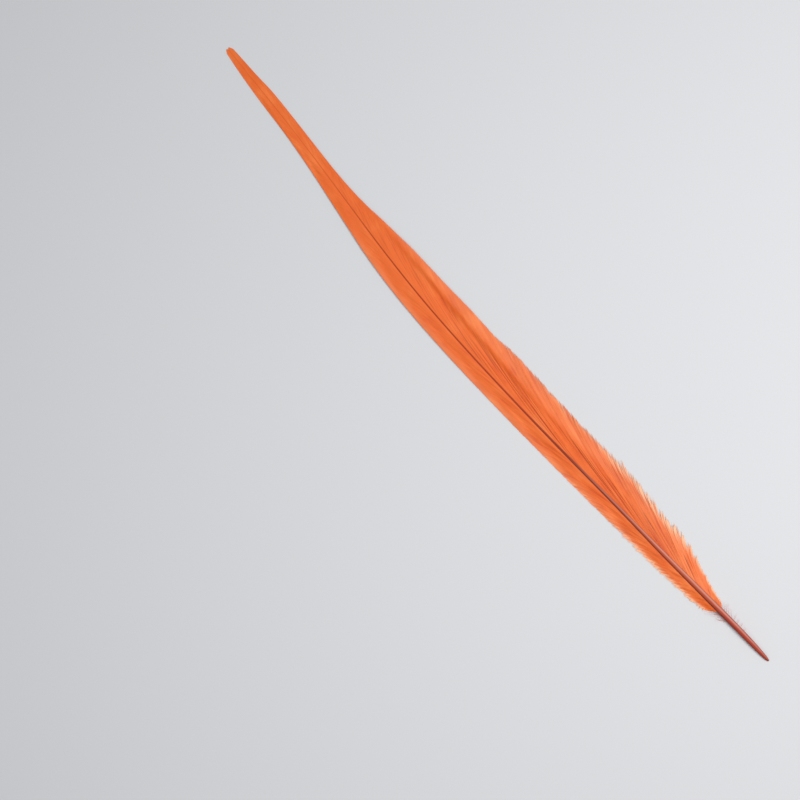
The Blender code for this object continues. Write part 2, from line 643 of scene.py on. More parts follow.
@dataclass(frozen=True)
class WebFinish:
    """Dyed barbs: silky orange, paler and clearer at their free tips, mostly as painted light shining through
    them, and deeper where they leave the shaft, as painted shade on the web.
    """

    name: str
    deep: Colour = linear(222, 87, 32)
    plain: Colour = linear(243, 115, 47)
    light: Colour = linear(252, 135, 67)
    # pale: mostly painted light, on thin tips and strands lit through and on the lit slope past the fold's
    # crest
    pale: Colour = linear(255, 200, 160)
    # root: painted shade by the shaft and in the splits between ruffles, and the deeper colour of some margin
    # strands and of the down by the shaft
    root: Colour = linear(180, 64, 26)
    patch_size: float = 0.021
    streak_length: float = 9.0
    streak_count: float = 420.0
    streak_share: float = 0.22
    relief: Pair = (0.4, 1.1)
    roughness: Pair = (0.62, 0.48)
    specular: float = 0.28
    sheen: float = 0.05
    sheen_roughness: float = 0.4
    sheen_tint: Colour = linear(255, 190, 150)
    bump_strength: float = 0.25
    bump_distance: float = 0.00004
    glow: float = 0.16

    def build(self, streaks: bpy.types.NodeTree, dye: bpy.types.NodeTree) -> bpy.types.Material:
        """The material.

        Args:
            streaks: The group of fine streaks.
            dye: The group of uneven dye.

        Returns:
            A material for strands that carry tint, along, pale, column and deep.
        """
        made, nodes = new_material(self.name)
        along, tint = nodes.attribute("along"), nodes.attribute("tint")
        column = nodes.attribute("column")
        fibre = nodes.group(
            streaks, Along=along, Across=column, Length=self.streak_length, Count=self.streak_count
        )
        body = nodes.group(
            dye, Deep=self.deep, Plain=self.plain, Light=self.light, Tint=tint, Patch_Size=self.patch_size
        )
        streak = nodes.between(fibre.outputs["Mask"], (0.0, 1.0), (0.0, self.streak_share))
        base = nodes.mix(streak, body.outputs["Color"], self.deep)
        # The deep share adds painted shade and deeper strands; the pale share adds paler tips and strands,
        # mostly painted light
        base = nodes.mix(nodes.attribute("deep"), base, self.root)
        base = nodes.mix(nodes.attribute("pale"), base, self.pale)
        height = fibre.outputs["Height"]
        shader = nodes.new("ShaderNodeBsdfPrincipled")
        nodes.feed(shader.inputs["Base Color"], base)
        nodes.feed(shader.inputs["Roughness"], nodes.between(height, self.relief, self.roughness))
        shader.inputs["Specular IOR Level"].default_value = self.specular
        shader.inputs["Sheen Weight"].default_value = self.sheen
        shader.inputs["Sheen Roughness"].default_value = self.sheen_roughness
        shader.inputs["Sheen Tint"].default_value = (*self.sheen_tint, 1.0)
        nodes.feed(shader.inputs["Normal"], nodes.bump(height, self.bump_strength, self.bump_distance))
        through = nodes.new("ShaderNodeBsdfTranslucent")
        nodes.feed(through.inputs["Color"], base)
        both = nodes.new("ShaderNodeMixShader")
        nodes.feed_all(both.inputs, (self.glow, shader.outputs[0], through.outputs[0]))
        out = nodes.new("ShaderNodeOutputMaterial")
        nodes.feed(out.inputs["Surface"], both.outputs[0])
        return made


@dataclass(frozen=True)
class HornFinish:
    """The shaft's dyed horn: brick red at the quill, mauve brown further on with a pale painted highlight
    line, a painted highlight on the quill's upper right edge and painted shade on its left flank.

    The spans along the shaft are shares of its length. A band is a tone that fades both round the shaft and
    along it: over which facing, how strong there, over which span and how strong there.
    """

    name: str = "dyed_horn"
    tip_end: Colour = linear(140, 52, 34)
    calamus: Colour = linear(156, 52, 39)
    quill: Colour = linear(170, 69, 42)
    quill_pale: Colour = linear(184, 92, 64)
    # A painted highlight on the quill's upper right edge
    quill_highlight: Colour = linear(204, 150, 136)
    shaded: Colour = linear(124, 50, 35)
    rachis: Colour = linear(122, 47, 30)
    # A pale painted highlight line along the rachis
    highlight_line: Colour = linear(176, 106, 88)
    hair_thin: Colour = linear(160, 56, 20)
    hair_end: Colour = linear(226, 100, 40)
    tip_end_span: Pair = (0.0, 0.02)
    tip_end_share: Pair = (0.85, 0.0)
    calamus_span: Pair = (0.05, 0.13)
    rachis_span: Pair = (0.18, 0.30)
    thin_span: Pair = (0.31, 0.48)
    end_span: Pair = (0.66, 0.86)
    shaded_band: Band = ((0.25, 0.75), (0.0, 0.85), (0.04, 0.1), (0.3, 1.0))
    # Bands of the painted highlights: on the quill's edge, then along the rachis
    quill_highlight_band: Band = ((0.88, 0.99), (0.0, 0.6), (0.0, 0.08), (0.5, 1.0))
    highlight_line_band: Band = ((0.70, 0.98), (0.0, 0.8), (0.27, 0.37), (1.0, 0.0))
    streak_length: float = 60.0
    streak_count: float = 14.0
    streak_mask: Pair = (0.2, 1.0)
    streak_share: Pair = (0.0, 0.5)
    # How much facing up and facing right count toward the painted highlights, which face the light
    highlight_up: float = 0.88
    highlight_right: float = 0.47
    relief: Pair = (0.4, 1.1)
    roughness: Pair = (0.48, 0.62)
    specular: float = 0.18
    bump_strength: float = 0.35
    bump_distance: float = 0.00012

    def build(self, streaks: bpy.types.NodeTree) -> bpy.types.Material:
        """The material.

        Args:
            streaks: The group of fine streaks.

        Returns:
            A material for a shaft that carries place, crown, flank and round.
        """
        made, nodes = new_material(self.name)
        place, crown, flank = (nodes.attribute(name) for name in ("place", "crown", "flank"))
        around = nodes.attribute("round")
        fibre = nodes.group(
            streaks, Along=place, Across=around, Length=self.streak_length, Count=self.streak_count
        )
        height = fibre.outputs["Height"]

        quill = nodes.mix(nodes.between(place, self.calamus_span), self.calamus, self.quill)
        streak = nodes.between(fibre.outputs["Mask"], self.streak_mask, self.streak_share)
        quill = nodes.mix(streak, quill, self.quill_pale)
        quill = nodes.mix(nodes.between(place, self.tip_end_span, self.tip_end_share), quill, self.tip_end)
        quill = nodes.mix(nodes.band(flank, place, self.shaded_band), quill, self.shaded)
        # toward: how much a spot faces up and to the right, the light's way, for the painted highlights
        leftward = nodes.times(flank, self.highlight_right)
        toward = nodes.maths("SUBTRACT", nodes.times(crown, self.highlight_up), leftward)
        # Painted highlight on the quill's upper right edge
        quill = nodes.mix(nodes.band(toward, place, self.quill_highlight_band), quill, self.quill_highlight)

        # Painted highlight line along the rachis
        rachis = nodes.mix(nodes.band(toward, place, self.highlight_line_band), self.rachis, self.highlight_line)
        base = nodes.mix(nodes.between(place, self.rachis_span), quill, rachis)
        base = nodes.mix(nodes.between(place, self.thin_span), base, self.hair_thin)
        base = nodes.mix(nodes.between(place, self.end_span), base, self.hair_end)
        shader = nodes.new("ShaderNodeBsdfPrincipled")
        nodes.feed(shader.inputs["Base Color"], base)
        nodes.feed(shader.inputs["Roughness"], nodes.between(height, self.relief, self.roughness))
        shader.inputs["Specular IOR Level"].default_value = self.specular
        nodes.feed(shader.inputs["Normal"], nodes.bump(height, self.bump_strength, self.bump_distance))
        out = nodes.new("ShaderNodeOutputMaterial")
        nodes.feed(out.inputs["Surface"], shader.outputs[0])
        return made


class Piece:
    """A piece of the feather, which stands in for one node of the CAD model."""

    node: str
    slot: str

    def build(self) -> bpy.types.Object:
        """The piece's mesh, with the numbers that its material reads."""
        raise NotImplementedError

    def dress(self, thing: bpy.types.Object, finish: bpy.types.Material) -> None:
        """Gives the piece its finish and puts it in its CAD node's stead.

        Args:
            thing: The piece's mesh object.
            finish: Its material.
        """
        thing.data.materials.append(finish)
        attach(thing, "root")
        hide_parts(self.node)

    def make(self, finish: bpy.types.Material) -> bpy.types.Object:
        """Builds the piece and dresses it.

        Args:
            finish: Its material.

        Returns:
            The piece's mesh object.
        """
        thing = self.build()
        self.dress(thing, finish)
        return thing


@dataclass
class Shaft(Piece):
    """The quill and rachis: tapering horn, round at the quill and square-shouldered further on."""

    node: ClassVar[str] = "shaft"
    slot: ClassVar[str] = "horn"

    end: float = 0.5490
    sides: int = 36
    rings: int = 420
    quill_tip: float = 0.012
    quill_tip_rings: int = 26
    horn_from: float = 0.038
    horn_over: float = 0.08
    round_power: float = 2.0
    squarer: float = 1.2
    groove: float = 0.35
    groove_spread: float = 0.16
    wobble: float = 0.012
    wobble_turns: float = 210.0

    def build(self) -> bpy.types.Object:
        """The shaft's mesh, with the numbers that its material reads.

        Returns:
            The mesh object.
        """
        tip = self.quill_tip * (np.arange(self.quill_tip_rings) / self.quill_tip_rings) ** 2
        rest = np.linspace(self.quill_tip, self.end, self.rings + 1)
        place = np.concatenate([tip, rest])[:, None]
        angle = (2 * np.pi * np.arange(self.sides) / self.sides)[None, :]
        horn = np.clip((place - self.horn_from) / self.horn_over, 0.0, 1.0)
        square = self.round_power + self.squarer * horn
        across, up = np.cos(angle), np.sin(angle)
        size = (np.abs(across) ** square + np.abs(up) ** square) ** (-1 / square)
        below = np.exp(-(((angle - 1.5 * np.pi) / (self.groove_spread * np.pi)) ** 2))
        size = size * (1 - self.groove * horn * below)
        radius = SPINE.widths.at(place) / 2
        wobble = 1 + self.wobble * np.sin(place * self.wobble_turns + 2 * across) * (1 - horn)
        height = SPINE.middle_at(place) + radius * size * up
        rings = SPINE.points(place + 0 * angle, radius * size * across * wobble, height)
        strands = Strands(f"{self.node}_horn")
        strands.add(rings[None], (0.0, 1.0), place=(place / SPINE.length).T)
        thing = strands.build()
        shares = {
            "crown": up + 0 * place,
            "flank": across + 0 * place,
            "round": np.abs(angle / np.pi - 1) + 0 * place,
        }
        for key, value in shares.items():
            attribute = thing.data.attributes.new(key, "FLOAT", "POINT")
            attribute.data.foreach_set("value", value.astype(np.float32).ravel())
        return thing


@dataclass
class Barbs:
    """What its place and chance make of each barb of a web, as one row for each barb.

    loose says how frayed it is, base how near the quill, lone whether it lies apart from its clump and stray
    how far. The chances are one number for a whole clump or strand, of which the spread is 1.
    """

    root: np.ndarray
    clump: np.ndarray
    length_chance: np.ndarray
    shift_chance: np.ndarray
    tint_chance: np.ndarray
    strand_chance: np.ndarray
    fringe: np.ndarray
    loose: np.ndarray
    base: np.ndarray
    lone: np.ndarray
    stray: np.ndarray

    def mean_tip(self, values: np.ndarray) -> np.ndarray:
        """The mean of a value at the tips of each barb's clump.

        Args:
            values: The value, as (barb, step).

        Returns:
            The means, as (barb, 1).
        """
        most = self.clump.max() + 1
        total = np.bincount(self.clump, weights=values[:, -1], minlength=most)
        count = np.maximum(np.bincount(self.clump, minlength=most), 1)
        return (total[self.clump] / count[self.clump])[:, None]


@dataclass
class Vane(Piece):
    """One side's web: hundreds of separate barbs that leave the shaft, sweep forward and lie like roof tiles.

    The curves are read where a barb leaves the shaft, but the crest and the ruffle where a spot lies along
    the feather. reach is how far out a barb goes and sweep how far forward for each unit of that. splay is
    how much of the forward run its tip loses, hug how far back it starts for each unit out, and shag how much
    longer it is than usual. crest_at and crest_height are the long fold's, as a share of the way out and as a
    height. fringe is how loose the barbs are, gather how far a clump's tips draw together, ruffle how high
    the web is ruffled and wan how pale it is near the quill.

    A pair called a span says between which values a soft step runs, and one called limits gives the least
    and the most. Any other pair holds a value for the whole web and what is added to it near the quill.
    """

    slot: ClassVar[str] = "web"

    side: Side
    seed: int
    reach: Course
    sweep: Course
    splay: Course
    hug: Course
    shag: Course
    crest_at: Course
    crest_height: Course
    fringe: Course
    gather: Course
    ruffle: Course
    wan: float = 0.0

    # How many barbs there are, and where
    start: float = 0.0470
    end: float = 0.5488
    barbs: int = 1080
    steps: int = 19
    step_crowding: float = 1.25
    root_jitter: float = 0.2
    quill_span: Pair = (0.135, 0.085)
    clump_sizes: tuple[int, int] = (2, 9)
    strand_sizes: tuple[int, int] = (2, 6)
    lone: float = 0.06
    lone_near_quill: float = 5.0
    lone_from: float = 0.2
    stray_least: float = 0.3

    # Lengths, as shares of a barb's usual one
    uneven: Pair = (0.012, 0.018)
    uneven_least: float = 0.2
    clump_uneven: float = 0.008
    fringe_longer: float = 0.02
    stray_longer: Pair = (0.008, 0.075)

    # The path of a barb from the shaft to its tip
    splay_span: Pair = (0.62, 1.0)
    splay_steps: int = 241
    hug_power: float = 1.5
    begin: float = 0.55
    begin_lift: float = 0.2
    tip_cap: float = 0.0040
    tip_half_width: float = 0.0030
    tip_widest: float = 1.6
    tip_over: float = 0.0005
    least_run: float = 0.0004
    thickness: float = 0.00022

    # The long fold and the slow waves, each as (size, length, slant, turn by seed)
    fold_rise: float = 0.17
    fold_top: float = 0.05
    fold_end: float = 1.02
    waves: tuple[tuple[float, float, float, float], ...] = (
        (1.0, 0.083, 0.9, 1.0),
        (0.7, 0.047, -0.6, 2.1),
        (0.5, 0.029, 1.4, 0.7),
    )
    wave_height: float = 0.00018
    wave_level: float = 1.3
    wave_spans: tuple[Pair, Pair, Pair] = ((0.1, 0.7), (1.0, 0.75), (0.55, 0.50))

    # Ruffles, which run along the barbs
    coarse_length: float = 0.0025
    fine_length: float = 0.0014
    patch_length: float = 0.0065
    coarse_across: float = 3.1
    fine_across: float = 4.3
    patch_across: float = 4.6
    coarse_share: float = 0.8
    fine_share: float = 0.4
    closer: float = 0.9
    closer_span: Pair = (0.16, 0.26)
    grain_lift: float = 0.6
    ruffle_span: Pair = (0.02, 0.16)
    crest_calm: float = 0.92
    crest_before: float = 0.2
    crest_after: float = 0.02

    # Gathered tips, and the lone barbs' own way
    pull_span: Pair = (0.78, 1.0)
    pull_aside: float = 0.5
    clump_shift: float = 0.0009
    clump_shift_span: Pair = (0.7, 1.0)
    stray_shift: Pair = (0.0006, 0.0008)
    stray_shift_span: Pair = (0.6, 1.0)
    lone_lift: float = 0.0003
    lone_lift_span: Pair = (0.4, 0.9)
    lowest: float = 0.00012

    # Widths, and where a barb's tip is bare of its barbules
    overlap: float = 1.75
    apart_limits: Pair = (0.00005, 0.00045)
    bare_from: Pair = (0.90, -0.08)
    bare_uneven: float = 0.03
    bare_over: float = 0.05
    thinner: Pair = (0.55, 0.1)
    thin_least: float = 0.2
    lone_fuller: Pair = (0.3, 0.4)
    point_from: Pair = (0.93, -0.08)
    pointed: float = 0.9
    cover_middle: float = 0.35
    cover_middle_span: Pair = (0.35, 0.6)
    cover_outer: float = 0.4
    cover_outer_span: Pair = (0.74, 0.95)
    ridge: float = 0.00002
    ridge_least: float = 0.4
    tile: float = 0.16
    tile_uneven: float = 0.08

    # Colours, as shares
    tint_middle: float = 0.5
    tint_uneven: float = 0.10
    tint_least: float = 0.35
    tint_further: float = 0.16
    tint_further_span: Pair = (0.42, 0.46)
    patch_share: Pair = (0.12, 0.24)
    patch_span: Pair = (0.34, 0.24)
    # Pale frayed tips: painted light shining through the thin bare tips
    frayed: Pair = (0.45, 0.55)
    frayed_least: float = 0.5
    frayed_before: float = 0.06
    frayed_after: float = 0.04
    margin_from: Pair = (0.8, -0.12)
    margin_end: float = 0.93
    # Pale strands of the margin and raised lone strands: painted light shining through and catching on them
    lit_strands: Pair = (0.36, 0.24)
    lit_strands_span: Pair = (0.2, 1.1)
    streak: Pair = (0.25, 0.55)
    streak_by_stray: float = 0.25
    streak_most: float = 0.95
    streak_from: Pair = (0.76, -0.2)
    streak_end: float = 0.9
    wan_span: Pair = (0.9, 0.4)
    # Painted light on the slope past the fold's crest, which faces the light
    outer: float = 0.12
    lit_slope_before: float = 0.06
    lit_slope_after: float = 0.16
    lit_slope_span: Pair = (0.42, 0.38)
    # Painted shade in the splits between ruffles
    split_shade: float = 0.85
    split_shade_steep: float = 2.6
    split_shade_from: float = 0.4
    split_shade_ruffle: float = 0.00018
    # Painted shade where the barbs leave the shaft
    root_shade: float = 0.3
    root_shade_span: Pair = (0.0, 0.06)
    # Deeper colour in some strands of the margin, chosen by chance
    shaded: float = 0.5
    shaded_span: Pair = (-0.4, -1.2)

    @property
    def node(self) -> str:
        """The CAD node that this side's web stands for."""
        return f"vane_{self.side.word}"

    def clumps(self, chance: np.random.Generator, limits: tuple[int, int]) -> np.ndarray:
        """The number of the clump that each barb belongs to, for clumps of a size between those limits."""
        sizes = chance.integers(*limits, size=self.barbs)
        return np.repeat(np.arange(self.barbs), sizes)[: self.barbs]

    def scatter(self, chance: np.random.Generator) -> Barbs:
        """The barbs along the shaft, in clumps, some of them loose or astray.

        Args:
            chance: The source of chance.

        Returns:
            The barbs.
        """
        spacing = (self.end - self.start) / self.barbs
        jitter = chance.uniform(-self.root_jitter, self.root_jitter, self.barbs)
        root = (self.start + spacing * (np.arange(self.barbs) + 0.5 + jitter))[:, None]
        clump = self.clumps(chance, self.clump_sizes)
        fringe = self.fringe.at(root)
        by_clump = chance.normal(size=(self.barbs, 4))[clump]
        by_strand = chance.normal(size=(self.barbs, 1))[self.clumps(chance, self.strand_sizes)]
        loose, base = smoothstep(0.0, 1.0, fringe), smoothstep(*self.quill_span, root)
        often = self.lone * (loose > self.lone_from) * loose * (1 + self.lone_near_quill * base)
        lone = chance.uniform(size=root.shape) < often
        return Barbs(
            root=root,
            clump=clump,
            length_chance=by_clump[:, 0:1],
            shift_chance=by_clump[:, 1:2],
            tint_chance=by_clump[:, 3:4],
            strand_chance=by_strand,
            fringe=fringe,
            loose=loose,
            base=base,
            lone=lone,
            stray=lone * chance.uniform(self.stray_least, 1.0, root.shape),
        )

    def lengths(self, barbs: Barbs, chance: np.random.Generator) -> np.ndarray:
        """How long each barb is.

        Args:
            barbs: The barbs.
            chance: The source of chance.

        Returns:
            Lengths as shares of the usual, as (barb, 1).
        """
        fringe = barbs.fringe
        uneven = near_quill(self.uneven, barbs.base) * chance.normal(size=barbs.root.shape)
        length = 1 + uneven * (self.uneven_least + fringe)
        length = length + self.clump_uneven * barbs.length_chance * fringe
        length = length + self.fringe_longer * np.minimum(fringe, 1.0)
        return length + barbs.stray * near_quill(self.stray_longer, barbs.base) + self.shag.at(barbs.root)

    def forward(self, root: np.ndarray, out: np.ndarray) -> np.ndarray:
        """How much of its forward run a barb has made: less and less where its tip splays outward.

        Args:
            root: Where each barb leaves the shaft, as (barb, 1).
            out: Shares of the way out, as (1, step).

        Returns:
            Shares of the forward run, as (barb, step).
        """
        fine = np.linspace(0.0, 1.0, self.splay_steps)
        slope = 1 - self.splay.at(root) * smoothstep(*self.splay_span, fine)
        run = np.concatenate([0 * root, np.cumsum((slope[:, 1:] + slope[:, :-1]) / 2, axis=1)], axis=1)
        run = run / run[:, -1:]
        spot = out[0] * (len(fine) - 1)
        low = np.minimum(spot.astype(int), len(fine) - 2)
        return run[:, low] * (1 - (spot - low)) + run[:, low + 1] * (spot - low)

    def sheet(self, root: np.ndarray, out: np.ndarray, length: np.ndarray) -> tuple[np.ndarray, ...]:
        """Where barbs run before they are ruffled.

        Args:
            root: Where each barb leaves the shaft, as (barb, 1).
            out: Shares of the way out, as (1, step).
            length: Each barb's length as a share of the usual, as (barb, 1).

        Returns:
            Place, aside and height, as (barb, step).
        """
        half = SPINE.widths.at(root) / 2
        inner = half + SPINE.gap
        breadth = (self.reach.at(root) - inner) * length
        edge = np.minimum((inner + breadth) / self.tip_half_width, self.tip_widest)
        room = SPINE.length + self.tip_over - self.tip_cap * edge**2 - root
        forward = np.minimum(breadth * self.sweep.at(root), np.maximum(room, self.least_run))
        back = breadth * self.hug.at(root) * np.clip(1 - 2 * out, 0.0, 1.0) ** self.hug_power
        place = root + forward * self.forward(root, out) - back
        begin = half * self.begin
        aside = begin + (inner + breadth - begin) * out
        fall = 0.5 + 0.5 * np.cos(np.pi * np.minimum(out / SPINE.flat_from, 1.0))
        low = SPINE.margin_at(place)
        height = low + (SPINE.middle_at(root) + half * self.begin_lift - low) * fall + self.thickness
        return place, aside, height + self.swell(place, out)

    def swell(self, place: np.ndarray, out: np.ndarray) -> np.ndarray:
        """How far the web stands over its plain arch: one long fold and slow waves.

        Args:
            place: Places, as (barb, step).
            out: Shares of the way out, as (1, step).

        Returns:
            Heights, as (barb, step).
        """
        crest, high = self.crest_at.at(place), self.crest_height.at(place)
        rise = smoothstep(crest - self.fold_rise, crest, out)
        fold = high * rise * (1 - smoothstep(crest - self.fold_top, self.fold_end, out))
        wave = sum(
            size * np.sin(2 * np.pi * (place / length + slant * out) + turn * self.seed)
            for size, length, slant, turn in self.waves
        )
        inner, outer, further = self.wave_spans
        slow = self.wave_height * (self.wave_level + wave) * smoothstep(*inner, out) * smoothstep(*outer, out)
        return fold + slow * smoothstep(*further, place)

    def grain(self, root: np.ndarray, out: np.ndarray) -> np.ndarray:
        """The ruffles' pattern, which follows the barbs.

        Args:
            root: Where each barb leaves the shaft, as (barb, 1).
            out: Shares of the way out, as (1, step).

        Returns:
            Heights from about -1 to 1, as (barb, step).
        """
        often = 1 + self.closer * smoothstep(*self.closer_span, root)
        coarse = Ripple(self.seed).at(root / self.coarse_length, self.coarse_across * often * out)
        fine = Ripple(self.seed + 1).at(root / self.fine_length, self.fine_across * often * out)
        return self.coarse_share * coarse + self.fine_share * fine

    def ruffles(self, place: np.ndarray, out: np.ndarray) -> np.ndarray:
        """How strong the ruffles are: they fade at the shaft and past the fold's crest.

        Args:
            place: Places, as (barb, step).
            out: Shares of the way out, as (1, step).

        Returns:
            Heights, as (barb, step).
        """
        crest = self.crest_at.at(place)
        past = smoothstep(crest - self.crest_before, crest + self.crest_after, out)
        return self.ruffle.at(place) * (smoothstep(*self.ruffle_span, out) * (1 - self.crest_calm * past))

    def gather_tips(
        self, barbs: Barbs, out: np.ndarray, path: tuple[np.ndarray, ...], chance: np.random.Generator
    ) -> tuple[np.ndarray, ...]:
        """Draws the tips of a clump together and sends the lone barbs their own way.

        Args:
            barbs: The barbs.
            out: Shares of the way out, as (1, step).
            path: Place, aside and height, as (barb, step).
            chance: The source of chance.

        Returns:
            Place, aside and height, as (barb, step).
        """
        place, aside, height = path
        gather = self.gather.at(barbs.root)
        pull = smoothstep(*self.pull_span, out) * gather * (1 - barbs.lone)
        place = place + (barbs.mean_tip(place) - place[:, -1:]) * pull
        aside = aside + (barbs.mean_tip(aside) - aside[:, -1:]) * pull * self.pull_aside
        shift = self.clump_shift * barbs.shift_chance * gather
        place = place + shift * smoothstep(*self.clump_shift_span, out)
        astray = barbs.lone * chance.normal(size=barbs.root.shape) * near_quill(self.stray_shift, barbs.base)
        place = place + astray * smoothstep(*self.stray_shift_span, out)
        height = height + barbs.lone * self.lone_lift * smoothstep(*self.lone_lift_span, out)
        return place, aside, np.maximum(height, self.lowest)

    def widths(self, barbs: Barbs, out: np.ndarray, bare: np.ndarray) -> tuple[np.ndarray, np.ndarray]:
        """How wide the barbs are, for a spacing of 1.

        Args:
            barbs: The barbs.
            out: Shares of the way out, as (1, step).
            bare: Where each tip turns bare, as (barb, 1).

        Returns:
            Widths, and how blunt the barb still is from 1 down to its point, as (barb, step).
        """
        thin = near_quill(self.thinner, barbs.base) * (self.thin_least + (1 - self.thin_least) * barbs.loose)
        thin = thin * (1 - near_quill(self.lone_fuller, barbs.base) * barbs.lone)
        narrow = 1 - thin * smoothstep(bare - self.bare_over, bare + self.bare_over, out)
        blunt = 1 - self.pointed * smoothstep(near_quill(self.point_from, barbs.base), 1.0, out)
        middle = self.cover_middle * smoothstep(*self.cover_middle_span, out)
        outer = self.cover_outer * smoothstep(*self.cover_outer_span, out)
        return self.overlap * (1 + middle + outer) * narrow * blunt, blunt

    def tints(self, barbs: Barbs, out: np.ndarray, chance: np.random.Generator) -> np.ndarray:
        """How light each barb's dye is.

        Args:
            barbs: The barbs.
            out: Shares of the way out, as (1, step).
            chance: The source of chance.

        Returns:
            Tints from 0 to 1, as (barb, step).
        """
        by_chance = self.tint_uneven * (chance.normal(size=barbs.root.shape) + barbs.tint_chance)
        tint = self.tint_middle + (self.tint_least + (1 - self.tint_least) * barbs.loose) * by_chance
        tint = tint + self.tint_further * smoothstep(*self.tint_further_span, barbs.root)
        patch = Ripple(self.seed + 2).at(barbs.root / self.patch_length, self.patch_across * out)
        share = near_quill(self.patch_share, smoothstep(*self.patch_span, barbs.root))
        return np.clip(tint + share * patch, 0.0, 1.0)

    def paleness(
        self, barbs: Barbs, out: np.ndarray, bare: np.ndarray, place: np.ndarray, crest: np.ndarray,
        margin: np.ndarray, chance: np.random.Generator,
    ) -> np.ndarray:
        """How pale the barbs are, mostly painted light: frayed tips and streaks at the margin, painted as
        light shining through thin strands, and the slope past the crest, painted lit as it faces the light.

        Args:
            barbs: The barbs.
            out: Shares of the way out, as (1, step).
            bare: Where each tip turns bare, as (barb, 1).
            place: Places, as (barb, step).
            crest: Where the fold's crest lies, as (barb, step).
            margin: How far into the loose margin it is, as (barb, step).
            chance: The source of chance.

        Returns:
            Shares from 0 to 1, as (barb, step).
        """
        base = barbs.base
        # Painted light shining through the thin frayed tips
        tips = smoothstep(bare - self.frayed_before, bare + self.frayed_after, out)
        frayed = barbs.loose * tips * chance.uniform(self.frayed_least, 1.0, base.shape)
        frayed = frayed * near_quill(self.frayed, base)
        # Painted light on thin strands of the margin and on raised lone strands
        by_strand = smoothstep(*self.lit_strands_span, barbs.strand_chance)
        lit_strands = near_quill(self.lit_strands, base) * by_strand * margin
        streak = near_quill(self.streak, base) + self.streak_by_stray * barbs.stray
        streak = np.clip(streak, 0.0, self.streak_most) * barbs.lone
        streak = streak * smoothstep(near_quill(self.streak_from, base), self.streak_end, out)
        lit_strands = np.maximum(lit_strands, streak)
        # Painted light on the slope past the crest, which faces the light
        past = smoothstep(crest - self.lit_slope_before, crest + self.lit_slope_after, out)
        outer = self.outer * past * smoothstep(*self.lit_slope_span, place)
        wan = self.wan * base * smoothstep(*self.wan_span, out)
        return np.clip(np.maximum(np.maximum(frayed, lit_strands), outer) + wan, 0.0, 1.0)

    def dye_depth_and_shade(
        self, barbs: Barbs, out: np.ndarray, grain: np.ndarray, ruffle: np.ndarray, margin: np.ndarray
    ) -> np.ndarray:
        """How deep the colour is: painted shade by the shaft and in the splits between ruffles, and deeper
        colour in some strands of the margin.

        Args:
            barbs: The barbs.
            out: Shares of the way out, as (1, step).
            grain: The ruffles' pattern, as (barb, step).
            ruffle: The ruffles' strength, as (barb, step).
            margin: How far into the loose margin it is, as (barb, step).

        Returns:
            Shares from 0 to 1, as (barb, step).
        """
        # Painted shade in the splits, where the ruffles' pattern dips low
        split_shade = np.clip(-self.split_shade_steep * grain - self.split_shade_from, 0.0, 1.0)
        split_shade = split_shade * np.clip(ruffle / self.split_shade_ruffle, 0.0, 1.0)
        # Painted shade where the barbs leave the shaft
        root_shade = self.root_shade * (1 - smoothstep(*self.root_shade_span, out))
        shaded = self.shaded * smoothstep(*self.shaded_span, barbs.strand_chance) * margin
        return np.maximum(np.maximum(root_shade, self.split_shade * split_shade), shaded)

    def build(self) -> bpy.types.Object:
        """The web's mesh, with the numbers that its material reads.

        Returns:
            The mesh object.
        """
        chance = np.random.default_rng(self.seed)
        out = (1 - (1 - np.linspace(0.0, 1.0, self.steps)) ** self.step_crowding)[None, :]
        barbs = self.scatter(chance)
        base, shape = barbs.base, barbs.root.shape
        place, aside, height = self.sheet(barbs.root, out, self.lengths(barbs, chance))
        crest = self.crest_at.at(place)

        grain, ruffle = self.grain(barbs.root, out), self.ruffles(place, out)
        height = height + ruffle * (grain + self.grain_lift)
        surface = SPINE.points(place, self.side.value * aside, height)
        tangent = unit(np.gradient(surface, axis=1))
        step = np.gradient(surface, axis=0)
        normal = unit(np.cross(tangent, step) * self.side.value)
        normal = normal * np.sign(normal[..., 2:3])
        apart = np.clip(np.linalg.norm(np.cross(step, tangent), axis=-1), *self.apart_limits)

        place, aside, height = self.gather_tips(barbs, out, (place, aside, height), chance)
        line = SPINE.points(place, self.side.value * aside, height)
        bare = near_quill(self.bare_from, base) + self.bare_uneven * chance.normal(size=shape)
        width, blunt = self.widths(barbs, out, bare)
        width = width * apart
        ridge = self.ridge * (self.ridge_least + (1 - self.ridge_least) * blunt)
        roll = self.side.value * (self.tile + self.tile_uneven * chance.normal(size=shape))
        rings = ribbon_rings(line, normal, width, ridge + 0 * width, roll + 0 * width)

        tint = self.tints(barbs, out, chance)
        margin = barbs.loose * smoothstep(near_quill(self.margin_from, base), self.margin_end, out)
        pale = self.paleness(barbs, out, bare, place, crest, margin, chance)
        strands = Strands(f"{self.node}_barbs")
        strands.add(
            rings,
            (0.0, 1.0),
            tint=tint,
            along=out + 0 * base,
            column=np.arange(self.barbs)[:, None] / self.barbs + 0 * out,
            # pale is mostly painted light on thin tips and strands and on the slope past the crest
            pale=pale,
            # deep carries painted shade by the shaft and in the splits, and deeper strands of the margin
            deep=self.dye_depth_and_shade(barbs, out, grain, ruffle, margin),
        )
        return strands.build()


